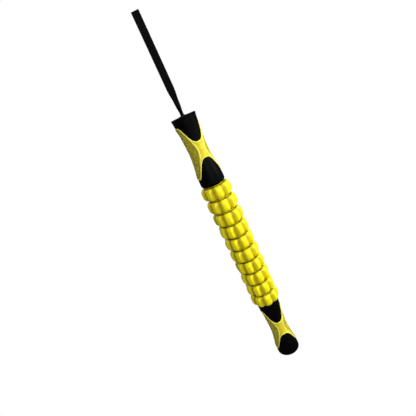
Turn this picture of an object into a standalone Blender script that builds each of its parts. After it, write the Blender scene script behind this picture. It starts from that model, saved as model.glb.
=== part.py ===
"""Massage roller stick hanging upright from its taut wrist strap.

Two moulded handles are screwed onto the ends of a steel tube. A plastic sleeve covers the tube between
them, and ten lobed rings roll on the sleeve. The strap is a webbing loop whose foot enters the upper end
cap through a grommet and is knotted below it.

Metres, +Z up. The stick's axis is Z, and its front faces -Y. The origin is the point inside the top of
the strap loop that a hook or a thumb would touch.
"""

import math

import bmesh
import bpy
from mathutils import Vector

MM = 0.001
GAP = 0.3 * MM                     # clearance left between touching pieces
SEAM = 0.00001                     # merge distance along a turned piece's seam

# Stick
STICK_LENGTH = 440 * MM
RING_COUNT = 10
RING_LENGTH = 22 * MM
RING_PITCH = RING_LENGTH + GAP
ROLLER_SPAN = RING_COUNT * RING_PITCH + GAP
HANDLE_LENGTH = (STICK_LENGTH - ROLLER_SPAN) / 2
ROUND_STEPS = 28
HIDDEN_STEPS = 20                  # inner pieces need fewer facets

# Strap
STRAP_REACH = 145 * MM             # from the upper end cap to the inside of the loop's top
STRAP_WIDTH = 11 * MM
STRAP_THICKNESS = 1.2 * MM
FOOT_WIDTH = 4.6 * MM              # where the two legs are gathered to enter the grommet
FOOT_THICKNESS = 2.2 * MM
GATHER_START = 6 * MM              # heights above the cap between which the webbing spreads out
GATHER_END = 42 * MM
GROMMET_HEIGHT = 1.3 * MM
FOOT_RADIUS = 2.45 * MM            # rounded foot that the stick swings about
SWING_HEIGHT = GROMMET_HEIGHT + GAP + FOOT_RADIUS
# One leg of the loop, from its foot to the top: (distance from the stick's axis, height above the cap).
STRAP_LEG = [
    (1.25 * MM, SWING_HEIGHT), (1.3 * MM, 8 * MM), (1.7 * MM, 14 * MM), (2.4 * MM, 22 * MM),
    (3.2 * MM, 32 * MM), (4.0 * MM, 46 * MM), (4.6 * MM, 64 * MM), (4.9 * MM, 86 * MM),
    (4.9 * MM, 108 * MM), (4.7 * MM, 126 * MM), (4.2 * MM, 137 * MM), (2.9 * MM, 143.6 * MM),
    (0.0, STRAP_REACH + STRAP_THICKNESS / 2),
]
STRAP_STEPS = 3                    # stations for each stretch between two route points

# Levels along the stick
TOP_Z = -STRAP_REACH               # outer face of the upper handle
UPPER_INNER_Z = TOP_Z - HANDLE_LENGTH
LOWER_INNER_Z = UPPER_INNER_Z - ROLLER_SPAN
BOTTOM_Z = TOP_Z - STICK_LENGTH

# Handle outline: a flare falls to the waist, and a softer one swells below it
WAIST_AT = 54 * MM
WAIST_RADIUS = 14.9 * MM
FLARE_RISE = 4.1 * MM
FLARE_POWER = 1.75
SWELL_RISE = 4.3 * MM
SWELL_LENGTH = 48 * MM
TOP_EDGE = 0.6 * MM
BOTTOM_EDGE = 4.2 * MM
BOTTOM_TURNS = [30, 60, 90]         # degrees round the rounded bottom edge
OUTLINE_POINTS = 9

# Soft grip: a band at the waist with two side panels, leaving black tongues at front and back
GRIP_STAND = 0.4 * MM              # how far it stands out of the handle
GRIP_THICKNESS = 2 * MM
GRIP_ROWS = 6
UPPER_TIP = 38.8 * MM              # tongue tips and panel ends, from the handle's flared end
UPPER_SIDE = 12 * MM
LOWER_TIP = 65 * MM
LOWER_SIDE = 93 * MM
TONGUE_ANGLE = math.radians(77)
TONGUE_POWER = 1.45
SLOPE_STEP = math.radians(1)
UPPER_TURN = math.radians(21)      # how far each handle is turned to the right
LOWER_TURN = math.radians(9)

# Inside the handles
REBATE_RADIUS = 14.8 * MM          # seat of the end cap
CAP_THICKNESS = 3 * MM
CAP_SKIRT = 6 * MM
CAP_SKIRT_WALL = 1.8 * MM
CAVITY_RADIUS = 11.5 * MM
CAVITY_DEPTH = 24 * MM
WEB_THICKNESS = 4 * MM

# Core
TUBE_RADIUS = 8 * MM
TUBE_WALL = 1.5 * MM
SLEEVE_RADIUS = 10 * MM
PLUG_LENGTH = 16 * MM
SCREW_RADIUS = 2.2 * MM
SCREW_LENGTH = 18 * MM
HEAD_RADIUS = 4.8 * MM
HEAD_HEIGHT = 3.6 * MM
WASHER_RADIUS = 7 * MM
WASHER_THICKNESS = 1 * MM

# Grommet and knot
GROMMET_FLANGE = 6 * MM
GROMMET_BARREL = 3.7 * MM
GROMMET_HOLE = 2.7 * MM
KNOT_RADIUS = 7.2 * MM
KNOT_TOP_RADIUS = 5.4 * MM
KNOT_FOOT_RADIUS = 5.04 * MM
KNOT_NECK = 2.2 * MM
KNOT_DEPTH = 16 * MM

# Rings
RING_RADIUS = 23.75 * MM
RING_HUB = 15 * MM
RING_BORE = 10.45 * MM
LOBES = 8
RING_STEPS = 4 * LOBES             # a groove, two ridges and a crest for each lobe
LOBE_END_RADIUS = 20.2 * MM
LOBE_POWER = 3.7                   # how squarely a lobe's outline falls off towards its ends
MID_SHARE = 0.65                   # place of a lobe's rows between its middle and its ends
LOBE_HALF = 9.3 * MM               # half of a lobe's length along the axis
HUB_LIP = 0.5 * MM
VALLEY_DEPTH = 0.165               # shares of the radius: at a lobe's middle, and at its ends
VALLEY_END_DEPTH = 0.085
RIDGE_SHARE = 0.24                 # how much of a groove's depth is left at its ridges
# How far each ring happens to be turned, in degrees to the right of the front
RING_TURNS = [-18, -18, -29, -1, -7, -14, -37, -9, -4, -20]

# Finishes: colour, roughness, metallic
BLACK_PLASTIC = ((0.012, 0.012, 0.014), 0.42, 0.0)
BLACK_WEBBING = ((0.010, 0.011, 0.018), 0.85, 0.0)
BLACK_RUBBER = ((0.016, 0.016, 0.017), 0.7, 0.0)
YELLOW_PLASTIC = ((0.86, 0.78, 0.01), 0.38, 0.0)
YELLOW_RUBBER = ((0.72, 0.66, 0.05), 0.62, 0.0)
STEEL = ((0.55, 0.56, 0.57), 0.3, 1.0)
GREY_PLASTIC = ((0.32, 0.33, 0.34), 0.5, 0.0)


# ---------------------------------------------------------------- helpers

def clear_scene():
    for old in list(bpy.data.objects):
        bpy.data.objects.remove(old, do_unlink=True)


def collection(name):
    group = bpy.data.collections.new(name)
    bpy.context.scene.collection.children.link(group)
    return group


def add_object(name, mesh, finish, place=(0, 0, 0), turn=0.0):
    """Puts a mesh in the scene as one sub-part with a finish of its own."""
    part = bpy.data.objects.new(name, mesh)
    PARTS.objects.link(part)
    part.location = place
    part.rotation_euler[2] = turn
    colour, roughness, metallic = finish
    material = bpy.data.materials.new(name + "_finish")
    material.use_nodes = True
    shader = material.node_tree.nodes["Principled BSDF"]
    shader.inputs["Base Color"].default_value = (*colour, 1)
    shader.inputs["Roughness"].default_value = roughness
    shader.inputs["Metallic"].default_value = metallic
    part.data.materials.append(material)
    return part


def turned(name, outline, finish, closed=False, steps=HIDDEN_STEPS):
    """A turned piece: its outline runs down the outer side as (radius, height), then up the bore."""
    mesh = bpy.data.meshes.new(name)
    count = len(outline)
    edges = [(i, (i + 1) % count) for i in range(count if closed else count - 1)]
    mesh.from_pydata([(radius, 0, height) for radius, height in outline], edges, [])
    part = add_object(name, mesh, finish)
    screw = part.modifiers.new("Turn", "SCREW")
    screw.steps = screw.render_steps = steps
    screw.use_merge_vertices = True
    screw.merge_threshold = SEAM
    screw.use_smooth_shade = True
    return part


def smooth_step(share):
    share = min(max(share, 0), 1)
    return share * share * (3 - 2 * share)


def blend(low, high, share):
    return low + (high - low) * share


# ---------------------------------------------------------------- handles

def handle_radius(along):
    """Outer radius of a handle, at a distance from its flared end."""
    if along < WAIST_AT:
        return WAIST_RADIUS + FLARE_RISE * ((WAIST_AT - along) / WAIST_AT) ** FLARE_POWER
    return WAIST_RADIUS + SWELL_RISE * smooth_step((along - WAIST_AT) / SWELL_LENGTH)


def tongue_share(angle):
    """1 at the middle of a black tongue, 0 at the side of the handle; tongues are at front and back."""
    off_centre = abs((angle + math.pi / 2) % math.pi - math.pi / 2)
    reach = min(off_centre / TONGUE_ANGLE, 1) ** TONGUE_POWER
    return (1 + math.cos(math.pi * reach)) / 2


def grip_edges(angle, margin):
    """Where the grip begins and ends along the handle, at an angle from its front, moved out by margin."""
    levels = []
    for side, tip, outwards in ((UPPER_SIDE, UPPER_TIP, -1), (LOWER_SIDE, LOWER_TIP, 1)):
        level, next_level = (blend(side, tip, tongue_share(a)) for a in (angle, angle + SLOPE_STEP))
        slope = (next_level - level) / (SLOPE_STEP * WAIST_RADIUS)
        levels.append(level + outwards * margin * math.hypot(1, slope))
    return levels


def grip_band(margin, stand):
    """Open band over the grip's area, its edges moved out by margin, standing off the handle."""
    mesh = bpy.data.meshes.new("grip_band")
    cage = bmesh.new()
    bmesh.ops.create_cone(cage, cap_ends=False, segments=ROUND_STEPS, radius1=1, radius2=1, depth=1)
    uprights = [edge for edge in cage.edges if abs(edge.verts[0].co.z - edge.verts[1].co.z) > 0.5]
    bmesh.ops.subdivide_edges(cage, edges=uprights, cuts=GRIP_ROWS - 1)
    for point in cage.verts:
        angle = math.atan2(point.co.x, -point.co.y)
        start, end = grip_edges(angle, margin)
        along = blend(start, end, 0.5 - point.co.z)
        radius = handle_radius(along) + stand
        point.co = (radius * math.sin(angle), -radius * math.cos(angle), -along)
    cage.to_mesh(mesh)
    cage.free()
    mesh.shade_smooth()
    return mesh


def add_wall(part, thickness):
    wall = part.modifiers.new("Wall", "SOLIDIFY")
    wall.thickness = thickness
    wall.offset = -1
    wall.use_even_offset = True


def core_outline(first_z, outer_is_flared):
    """Closed outline of a handle core: outer side downwards, then the stepped bore upwards."""
    last_z = first_z - HANDLE_LENGTH
    outer = [(handle_radius(0) - TOP_EDGE, first_z)]
    for i in range(OUTLINE_POINTS):
        along = blend(TOP_EDGE, HANDLE_LENGTH - BOTTOM_EDGE, i / (OUTLINE_POINTS - 1))
        outer.append((handle_radius(along), first_z - along))
    corner = handle_radius(HANDLE_LENGTH) - BOTTOM_EDGE
    for degrees in BOTTOM_TURNS:
        turn = math.radians(degrees)
        outer.append((corner + BOTTOM_EDGE * math.cos(turn), last_z + BOTTOM_EDGE * (1 - math.sin(turn))))
    bore = [                       # from the handle's outer end inwards, as (radius, depth)
        (REBATE_RADIUS, 0),
        (REBATE_RADIUS, CAP_THICKNESS + GAP),
        (CAVITY_RADIUS, CAP_THICKNESS + GAP),
        (CAVITY_RADIUS, CAVITY_DEPTH),
        (SCREW_RADIUS + 2 * GAP, CAVITY_DEPTH),
        (SCREW_RADIUS + 2 * GAP, CAVITY_DEPTH + WEB_THICKNESS),
        (TUBE_RADIUS + GAP, CAVITY_DEPTH + WEB_THICKNESS),
        (TUBE_RADIUS + GAP, HANDLE_LENGTH),
    ]
    if outer_is_flared:
        return outer + [(radius, first_z - depth) for radius, depth in reversed(bore)]
    return outer + [(radius, last_z + depth) for radius, depth in bore]


def build_handle(side, first_z, outer_is_flared, turn):
    core = turned(side + "_handle_core", core_outline(first_z, outer_is_flared), BLACK_PLASTIC,
                  closed=True, steps=ROUND_STEPS)

    pocket = bpy.data.objects.new(side + "_grip_pocket", grip_band(GAP, 2 * GRIP_STAND))
    CUTTERS.objects.link(pocket)
    pocket.location.z = first_z
    pocket.rotation_euler[2] = turn
    pocket.hide_render = True
    pocket.display_type = "WIRE"
    add_wall(pocket, GRIP_THICKNESS + GRIP_STAND + GAP)
    cut = core.modifiers.new("Grip pocket", "BOOLEAN")
    cut.operation = "DIFFERENCE"
    cut.solver = "EXACT"
    cut.object = pocket

    grip = add_object(side + "_grip", grip_band(0, GRIP_STAND), YELLOW_RUBBER, (0, 0, first_z), turn)
    add_wall(grip, GRIP_THICKNESS)


def outward(end_z, sign, pairs):
    """Turns (radius, depth inside the handle) pairs into an outline that runs downwards."""
    points = [(radius, end_z + sign * depth) for radius, depth in pairs]
    return points if sign < 0 else points[::-1]


def build_end_fittings(side, end_z, sign, cap_bore):
    """Cap, screw, washer and tube plug of one handle; sign is the way into the handle along Z."""
    disc = REBATE_RADIUS - GAP
    skirt = CAVITY_RADIUS - GAP
    skirt_end = CAP_THICKNESS + CAP_SKIRT
    edge = TOP_EDGE
    skirt_bore = skirt - CAP_SKIRT_WALL
    pairs = [(disc - edge, 0), (disc, edge), (disc, CAP_THICKNESS), (skirt, CAP_THICKNESS),
             (skirt, skirt_end), (skirt_bore, skirt_end), (skirt_bore, CAP_THICKNESS)]
    bore = [(cap_bore, CAP_THICKNESS), (cap_bore, 0)] if cap_bore else [(0, CAP_THICKNESS)]
    start = [] if cap_bore else [(0, 0)]
    outline = outward(end_z, sign, start + pairs + bore)
    turned(side + "_end_cap", outline, BLACK_PLASTIC, closed=bool(cap_bore))

    washer_top = CAVITY_DEPTH - GAP - WASHER_THICKNESS
    washer = [(WASHER_RADIUS, washer_top), (WASHER_RADIUS, washer_top + WASHER_THICKNESS),
              (SCREW_RADIUS + GAP, washer_top + WASHER_THICKNESS), (SCREW_RADIUS + GAP, washer_top)]
    turned(side + "_screw_washer", outward(end_z, sign, washer), STEEL, closed=True)

    head_end = washer_top - GAP
    screw = [(0, head_end - HEAD_HEIGHT), (HEAD_RADIUS, head_end - HEAD_HEIGHT), (HEAD_RADIUS, head_end),
             (SCREW_RADIUS, head_end), (SCREW_RADIUS, head_end + SCREW_LENGTH), (0, head_end + SCREW_LENGTH)]
    turned(side + "_handle_screw", outward(end_z, sign, screw), STEEL)

    plug_start = CAVITY_DEPTH + WEB_THICKNESS + GAP
    radius = TUBE_RADIUS - TUBE_WALL - GAP
    plug = [(radius, plug_start), (radius, plug_start + PLUG_LENGTH),
            (SCREW_RADIUS + GAP, plug_start + PLUG_LENGTH), (SCREW_RADIUS + GAP, plug_start)]
    turned(side + "_tube_plug", outward(end_z, sign, plug), STEEL, closed=True)


# ---------------------------------------------------------------- core, rings

def pipe(name, outer, inner, top, bottom, finish):
    turned(name, [(outer, top), (outer, bottom), (inner, bottom), (inner, top)], finish, closed=True)


def build_core():
    inset = CAVITY_DEPTH + WEB_THICKNESS + GAP
    pipe("core_tube", TUBE_RADIUS, TUBE_RADIUS - TUBE_WALL, TOP_Z - inset, BOTTOM_Z + inset, STEEL)
    pipe("roller_sleeve", SLEEVE_RADIUS, TUBE_RADIUS + GAP, UPPER_INNER_Z - GAP, LOWER_INNER_Z + GAP,
         GREY_PLASTIC)


def ring_mesh():
    """One roller: a hub with eight barrel-shaped lobes between V grooves."""
    half = RING_LENGTH / 2
    mid = LOBE_HALF * MID_SHARE
    mid_radius = blend(RING_RADIUS, LOBE_END_RADIUS, MID_SHARE ** LOBE_POWER)
    upper = [(RING_HUB, half), (RING_HUB, LOBE_HALF + HUB_LIP), (LOBE_END_RADIUS, LOBE_HALF),
             (mid_radius, mid)]
    outline = upper + [(RING_RADIUS, 0)] + [(radius, -height) for radius, height in reversed(upper)]
    outline += [(RING_BORE, -half), (RING_BORE, half)]
    body = bmesh.new()
    points = [body.verts.new((radius, 0, height)) for radius, height in outline]
    edges = [body.edges.new((points[i - 1], points[i])) for i in range(len(points))]
    bmesh.ops.spin(body, geom=points + edges, axis=(0, 0, 1), cent=(0, 0, 0), angle=math.tau,
                   steps=RING_STEPS, use_merge=True)
    bmesh.ops.remove_doubles(body, verts=body.verts, dist=SEAM)
    bmesh.ops.recalc_face_normals(body, faces=body.faces)
    for point in body.verts:
        radius = point.co.xy.length
        if radius < LOBE_END_RADIUS - SEAM:
            continue
        wave = math.cos(math.atan2(point.co.y, point.co.x) * LOBES)
        share = blend(RIDGE_SHARE, 1, max(wave, 0)) - RIDGE_SHARE * max(-wave, 0)
        depth = blend(VALLEY_DEPTH, VALLEY_END_DEPTH, (point.co.z / LOBE_HALF) ** 2)
        point.co.xy *= 1 - depth * share
    mesh = bpy.data.meshes.new("roller_ring")
    body.to_mesh(mesh)
    body.free()
    return mesh


def build_rings():
    shape = ring_mesh()
    for i, turn in enumerate(RING_TURNS):
        centre_z = UPPER_INNER_Z - GAP - RING_LENGTH / 2 - i * RING_PITCH
        name = f"roller_ring_{i + 1:02d}"
        add_object(name, shape.copy(), YELLOW_PLASTIC, (0, 0, centre_z), math.radians(turn))


# ---------------------------------------------------------------- strap

def strap_route():
    """Centreline of the whole loop, up the front leg and down the back one, as points in Y and Z."""
    front = [Vector((0, -away, TOP_Z + height)) for away, height in STRAP_LEG]
    back = [Vector((0, away, TOP_Z + height)) for away, height in reversed(STRAP_LEG[:-1])]
    return front + back


def smooth_curve(points, steps):
    """Catmull-Rom curve through the points."""
    curve = []
    ends = [2 * points[0] - points[1]] + points + [2 * points[-1] - points[-2]]
    for i in range(len(points) - 1):
        a, b, c, d = ends[i:i + 4]
        for k in range(steps):
            t = k / steps
            curve.append(0.5 * (2 * b + (c - a) * t + (2 * a - 5 * b + 4 * c - d) * t ** 2
                                + (3 * b - a - 3 * c + d) * t ** 3))
    return curve + [points[-1]]


def webbing_mesh():
    """The loop as one lofted ribbon: wide and thin above, gathered narrow and thick at both feet."""
    route = smooth_curve(strap_route(), STRAP_STEPS)
    ribbon = bmesh.new()
    sections = []
    for i, centre in enumerate(route):
        along = (route[min(i + 1, len(route) - 1)] - route[max(i - 1, 0)]).normalized()
        across = Vector((1, 0, 0))
        through = along.cross(across)
        height = centre.z - TOP_Z
        spread = smooth_step((height - GATHER_START) / (GATHER_END - GATHER_START))
        half_width = blend(FOOT_WIDTH, STRAP_WIDTH, spread) / 2
        half_depth = blend(FOOT_THICKNESS, STRAP_THICKNESS, spread) / 2
        corners = [(-1, -1), (1, -1), (1, 1), (-1, 1)]
        sections.append([ribbon.verts.new(centre + across * half_width * a + through * half_depth * b)
                         for a, b in corners])
    for lower, upper in zip(sections, sections[1:]):
        for k in range(4):
            ribbon.faces.new((lower[k], lower[(k + 1) % 4], upper[(k + 1) % 4], upper[k]))
    ribbon.faces.new(sections[0][::-1])
    ribbon.faces.new(sections[-1])
    bmesh.ops.recalc_face_normals(ribbon, faces=ribbon.faces)
    mesh = bpy.data.meshes.new("wrist_strap")
    ribbon.to_mesh(mesh)
    ribbon.free()
    return mesh


def build_strap():
    strap = add_object("wrist_strap", webbing_mesh(), BLACK_WEBBING)
    bead = bpy.data.meshes.new("strap_foot")
    ball = bmesh.new()
    bmesh.ops.create_uvsphere(ball, u_segments=16, v_segments=8, radius=FOOT_RADIUS)
    ball.to_mesh(bead)
    ball.free()
    foot = bpy.data.objects.new("strap_foot", bead)
    CUTTERS.objects.link(foot)
    foot.location.z = TOP_Z + SWING_HEIGHT
    foot.hide_render = True
    foot.display_type = "WIRE"
    join = strap.modifiers.new("Foot", "BOOLEAN")
    join.operation = "UNION"
    join.solver = "EXACT"
    join.object = foot

    rim = TOP_Z + GROMMET_HEIGHT
    grommet = [(GROMMET_FLANGE - TOP_EDGE, rim), (GROMMET_FLANGE, rim - TOP_EDGE),
               (GROMMET_FLANGE, TOP_Z + GAP), (GROMMET_BARREL, TOP_Z + GAP),
               (GROMMET_BARREL, TOP_Z - CAP_THICKNESS), (GROMMET_HOLE, TOP_Z - CAP_THICKNESS),
               (GROMMET_HOLE, rim)]
    turned("strap_grommet", grommet, BLACK_RUBBER, closed=True)

    neck_end = TOP_Z - CAP_THICKNESS - GAP
    knot_end = TOP_Z - KNOT_DEPTH
    knot_mid = (neck_end + knot_end) / 2
    knot = [(0, rim - GAP), (KNOT_NECK, rim - GAP), (KNOT_NECK, neck_end),
            (KNOT_TOP_RADIUS, neck_end - 2 * GAP), (KNOT_RADIUS, knot_mid), (KNOT_FOOT_RADIUS, knot_end),
            (0, knot_end)]
    turned("strap_knot", knot, BLACK_WEBBING)


# ---------------------------------------------------------------- assembly

clear_scene()
PARTS = collection("roller_stick")
CUTTERS = collection("cutters")
build_strap()
build_handle("upper", TOP_Z, True, UPPER_TURN)
build_end_fittings("upper", TOP_Z, -1, GROMMET_BARREL + GAP)
build_core()
build_rings()
build_handle("lower", LOWER_INNER_Z, False, LOWER_TURN)
build_end_fittings("lower", BOTTOM_Z, 1, 0)
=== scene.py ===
"""Looks of a massage roller stick that hangs from its taut wrist strap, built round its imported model.

Metres, +Z up, front at -Y. The stick's axis is Z. An angle round the stick is counted from the front
towards +X, which is to the right. Each section below makes one sub-part in fine detail, and the finishes
and the node trees that repeat a shape come before them.
"""

import math

import bmesh
import bpy
from mathutils import Matrix, Vector


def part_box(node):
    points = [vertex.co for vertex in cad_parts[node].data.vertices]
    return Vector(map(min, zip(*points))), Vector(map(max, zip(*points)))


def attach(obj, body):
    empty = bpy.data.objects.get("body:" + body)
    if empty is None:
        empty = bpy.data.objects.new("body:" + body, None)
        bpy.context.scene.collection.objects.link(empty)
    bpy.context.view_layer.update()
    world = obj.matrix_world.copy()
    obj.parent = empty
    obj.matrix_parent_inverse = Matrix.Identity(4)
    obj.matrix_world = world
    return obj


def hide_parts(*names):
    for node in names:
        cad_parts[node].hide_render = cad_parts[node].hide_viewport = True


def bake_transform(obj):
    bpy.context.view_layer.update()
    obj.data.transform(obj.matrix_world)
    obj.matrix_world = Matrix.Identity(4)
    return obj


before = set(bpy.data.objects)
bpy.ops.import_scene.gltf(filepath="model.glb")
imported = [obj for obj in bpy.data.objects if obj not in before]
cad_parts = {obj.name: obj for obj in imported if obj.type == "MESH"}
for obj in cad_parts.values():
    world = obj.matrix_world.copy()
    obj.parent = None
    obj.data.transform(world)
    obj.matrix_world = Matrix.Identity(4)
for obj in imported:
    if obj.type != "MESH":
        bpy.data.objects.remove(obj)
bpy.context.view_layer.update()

MM = 0.001
WELD = 0.001 * MM                  # points closer than this are one point
GAP = 0.3 * MM                     # clearance between pieces
FILLET_STEPS = 4
ROUND_STEPS = 96                   # facets round a visible turned piece
HIDDEN_STEPS = 64


# ---------------------------------------------------------------- places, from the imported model

def top_of(node):
    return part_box(node)[1].z


def foot_of(node):
    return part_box(node)[0].z


TOP_Z = top_of("upper_handle_core")
UPPER_INNER_Z = foot_of("upper_handle_core")
LOWER_INNER_Z = top_of("lower_handle_core")
BOTTOM_Z = foot_of("lower_handle_core")
HANDLE_LENGTH = TOP_Z - UPPER_INNER_Z
RING_NODES = [f"roller_ring_{i + 1:02d}" for i in range(10)]
RING_HALF = (top_of(RING_NODES[0]) - foot_of(RING_NODES[0])) / 2

# Strap: one leg of the loop, from its foot to the top, as (distance from the axis, height above the cap)
STRAP_LEG = [
    (1.25 * MM, 4.05 * MM), (1.3 * MM, 8 * MM), (1.7 * MM, 14 * MM), (2.4 * MM, 22 * MM),
    (3.2 * MM, 32 * MM), (4.0 * MM, 46 * MM), (4.6 * MM, 64 * MM), (4.9 * MM, 86 * MM),
    (4.9 * MM, 108 * MM), (4.7 * MM, 126 * MM), (4.2 * MM, 137 * MM), (2.9 * MM, 143.6 * MM),
    (0.0, 145.6 * MM),
]
STRAP_SUNK = (1.2 * MM, 0.6 * MM)  # where each leg goes on inside the grommet
STRAP_STEP = 0.32 * MM             # stations along the webbing
STRAP_WIDTH = 11 * MM
STRAP_THICKNESS = 1.15 * MM
FOOT_WIDTH = 4.5 * MM
FOOT_THICKNESS = 2.15 * MM
GATHER_START = 6 * MM
GATHER_END = 42 * MM
TWIST = math.radians(75)           # turn of the gathered pair of legs, so that they lie side by side
TWIST_START = 4 * MM
TWIST_END = 26 * MM
FACE_POINTS = 22                   # points across each face of the webbing
FOOT_BLUNT = 2.4                   # how square the webbing's edges are: a round bundle at the foot
RIBBON_BLUNT = 9
FOLD_DEPTH = 0.28 * MM             # of the folds in the gathered foot
FOLD_WAVES = 2.5
THREAD_PITCH = 1.7 * MM            # of the diagonal ribs, along the webbing
THREAD_SLANT = 0.9
THREAD_RISE = 0.13 * MM
STRAP_CREASE = math.radians(60)    # sharper edges than this stay crisp on the webbing

# Handle outline
WAIST_AT = 54 * MM
WAIST_RADIUS = 14.9 * MM
FLARE_RISE = 4.1 * MM
FLARE_POWER = 1.75
SWELL_RISE = 4.3 * MM
SWELL_LENGTH = 48 * MM
TOP_EDGE = 0.6 * MM
BOTTOM_EDGE = 4.2 * MM

# Soft grip
GRIP_STAND = 0.4 * MM
GRIP_SUNK = 1.6 * MM
GRIP_SEAM = 0.12 * MM              # the fine line between the grip and the handle
GRIP_SHOULDER = 0.45 * MM          # rounded edge of the grip
GRIP_CREASE = math.radians(50)
UPPER_TIP = 38.8 * MM
UPPER_SIDE = 12 * MM
LOWER_TIP = 65 * MM
LOWER_SIDE = 93 * MM
TONGUE_ANGLE = math.radians(77)
TONGUE_POWER = 1.45
SLOPE_STEP = math.radians(1)
HANDLE_TURNS = {"upper": math.radians(21), "lower": math.radians(9)}
GRIP_STEPS = 180
EDGE_ROWS = [0, 0.12, 0.3, 0.55, 0.8, 1.05, 1.3, 1.6, 1.95, 2.4, 3.0, 3.9]     # mm in from the grip's edge
MIDDLE_ROWS = 26
BAND_HALF = math.radians(27)       # half of the smooth band between two side panels, at the waist
LIP_AT = 0.95 * MM                 # middle of the raised lip, from the grip's edge
LIP_WIDTH = 0.62 * MM
LIP_RISE = 0.5 * MM
PANEL_INSET = 1.9 * MM
PANEL_DEPTH = 0.45 * MM
PANEL_SLOPE = 0.7 * MM
PANEL_CORNER = 9 * MM
RIB_PITCH = 2.4 * MM               # fine ribs across the smooth band, at the waist only
RIB_DEPTH = 0.12 * MM
RIB_REACH = 14 * MM
RIB_FADE = 2 * MM
STUD_PITCH = 1.75 * MM
STUD_RADIUS = 0.5 * MM
STUD_HEIGHT = 0.3 * MM
DOT_RADIUS = 1.35 * MM
DOT_HEIGHT = 0.6 * MM
DOT_PITCH = 9.85 * MM
DOT_START = 37.7 * MM
DOT_ANGLE = math.radians(23)       # of the outer columns of dots, from the middle of a panel
STUD_CLEAR = 1.1 * MM              # from a stud's middle to the panel's edge
STUD_SHADE = 0.7                   # how much of the sunk panel's painted shade the studs and the dots take
DOT_SHADE = 0.1

# Inside the handles
REBATE_RADIUS = 14.8 * MM
CAP_THICKNESS = 3 * MM
CAP_SKIRT = 6 * MM
CAP_SKIRT_WALL = 1.8 * MM
CAP_LINE = (11.6 * MM, 12.6 * MM)  # fine ring sunk in the cap's face
CAP_LINE_DEPTH = 0.45 * MM
GATE_RADIUS = 1.6 * MM             # mark of the moulding gate in the blind cap
GATE_DEPTH = 0.3 * MM
CAVITY_RADIUS = 11.5 * MM
CAVITY_DEPTH = 24 * MM
WEB_THICKNESS = 4 * MM
TUBE_RADIUS = 8 * MM
TUBE_WALL = 1.5 * MM
SLEEVE_RADIUS = 10 * MM
PLUG_LENGTH = 16 * MM
SCREW_RADIUS = 2.2 * MM
SCREW_LENGTH = 18 * MM
HEAD_RADIUS = 4.8 * MM
HEAD_HEIGHT = 3.6 * MM
SOCKET_RADIUS = 1.9 * MM
SOCKET_DEPTH = 1.8 * MM
THREAD_DEPTH = 0.28 * MM
THREAD_TURNS = 18
WASHER_RADIUS = 7 * MM
WASHER_THICKNESS = 1 * MM

# Grommet and knot
GROMMET_FLANGE = 6 * MM
GROMMET_RISE = 1.3 * MM
GROMMET_BARREL = 3.7 * MM
GROMMET_HOLE = 2.7 * MM
KNOT_STRAND = 2.05 * MM
KNOT_SPREAD = 1.68 * MM
KNOT_RISE = 3.1 * MM
KNOT_MIDDLE = 9.6 * MM             # below the cap's outer face
KNOT_STEPS = 120
NECK_RADIUS = 1.05 * MM            # of the two legs between the knot and the grommet
TAIL_RADIUS = 1.3 * MM
KNOT_STATION = 0.6 * MM

# Rings
RING_RADIUS = 23.72 * MM
RING_HUB = 15 * MM
RING_BORE = 10.45 * MM
LOBES = 8
LOBE_PITCH = math.tau / LOBES
LOBE_END_RADIUS = 20.2 * MM
LOBE_HALF = 9.3 * MM
HUB_LIP = 0.6 * MM
GROOVE_DEPTH = 4.0 * MM            # of the groove between two lobes, at the ring's middle
GROOVE_END_DEPTH = 2.8 * MM
LOBE_POWER = 3.7
LOBE_CROWN = 0.008                 # drop of a lobe's face towards its ridges, as a share of the radius
FLANK_POWER = 1.5
FLANK = math.radians(13.5)         # from the bottom of a groove to the ridge of a lobe
FLANK_AT_END = math.radians(13.3)
RIDGE_ROUND = math.radians(0.6)
LOBE_ROWS = 22
GAP_SHADOW_FADE = 2.5 * MM               # over which the painted shadow between two rings fades in
GAP_SHADOW_FROM = 0.97 * LOBE_HALF        # painted shadow starts at this height above a ring's middle
GAP_SHADOW_TO = LOBE_HALF + HUB_LIP + 0.5 * MM
HUB_LINE = (11.8 * MM, 13.6 * MM)  # groove sunk in a ring's end face
HUB_LINE_DEPTH = 0.4 * MM
RING_CREASE = math.radians(40)
RING_TURNS = [-18, -18, -29, -1, -7, -14, -37, -9, -4, -20]     # degrees to the right of the front

# Studio
SURROUND = 0.15                    # how strongly the white surroundings light the object
FLOOR_DROP = 0.8
FLOOR_RADIUS = 30
LAMPS = (                          # name, place, size, watts
    ("front_key", (0.27, -1.27, 0.12), 0.78, 11),
    ("right_key", (1.26, -0.31, 0.12), 0.5, 19.5),
    ("back_left", (-0.7, 1.2, 0.3), 0.8, 6),
)
LENS = 30.29
SENSOR = 36
CAMERA_PLACE = (0, -0.5165, -0.1287)
CAMERA_ANGLES = (2.62, 16.80, -25.37)       # degrees to the left, down and round the line of sight


# ---------------------------------------------------------------- small helpers

def smooth_step(share):
    share = min(max(share, 0), 1)
    return share * share * (3 - 2 * share)


def mix(low, high, share):
    return low + (high - low) * share


def bead(distance, width):
    """Height of a rounded bead, from 1 at its middle to 0 at width from it."""
    share = min(abs(distance) / width, 1)
    return (1 - share * share) ** 2


def filleted(corners):
    """Outline whose corners, given as (radius, height, fillet), are rounded."""
    points = []
    for i, (radius, height, fillet) in enumerate(corners):
        corner = Vector((radius, height))
        if not fillet:
            points.append(corner)
            continue
        before = Vector(corners[i - 1][:2]) - corner
        after = Vector(corners[(i + 1) % len(corners)][:2]) - corner
        reach = min(fillet / math.tan(before.angle(after) / 2), before.length * 0.45, after.length * 0.45)
        start = corner + before.normalized() * reach
        end = corner + after.normalized() * reach
        for k in range(FILLET_STEPS + 1):
            t = k / FILLET_STEPS
            points.append(start * (1 - t) ** 2 + corner * 2 * t * (1 - t) + end * t * t)
    return [tuple(point) for point in points]


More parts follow.
